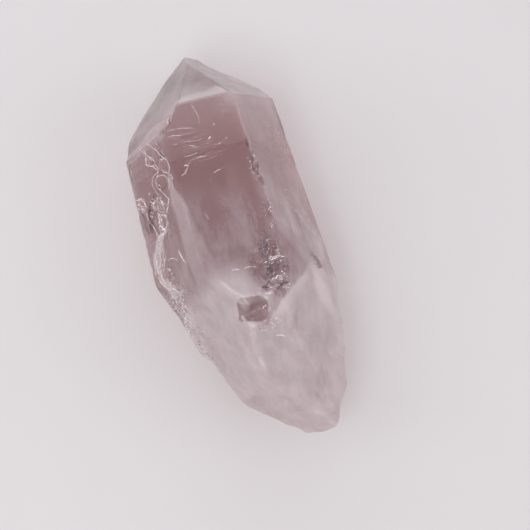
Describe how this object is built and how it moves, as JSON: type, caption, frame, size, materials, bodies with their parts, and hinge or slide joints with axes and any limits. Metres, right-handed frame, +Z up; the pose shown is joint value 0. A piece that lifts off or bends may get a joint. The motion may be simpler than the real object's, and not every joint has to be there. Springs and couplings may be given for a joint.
{
  "type": "quartz crystal",
  "caption": "Natural quartz point: hexagonal prism with a faceted, pointed tip, chipped edges and a broken, ribbed root, lying on its lowest prism face.",
  "frame": {"origin": "on the surface the crystal rests on, under the middle of its bounding box", "axes": "+Y along the crystal's long axis towards its tip, +Z up, +X to the right seen from the root"},
  "size_m": [0.0352, 0.081, 0.0302],
  "materials": {
    "quartz": "clear and glossy towards the tip, milky and satin at the broken root"
  },
  "bodies": {
    "root": {"quartz_crystal": "quartz"}
  },
  "joints": []
}
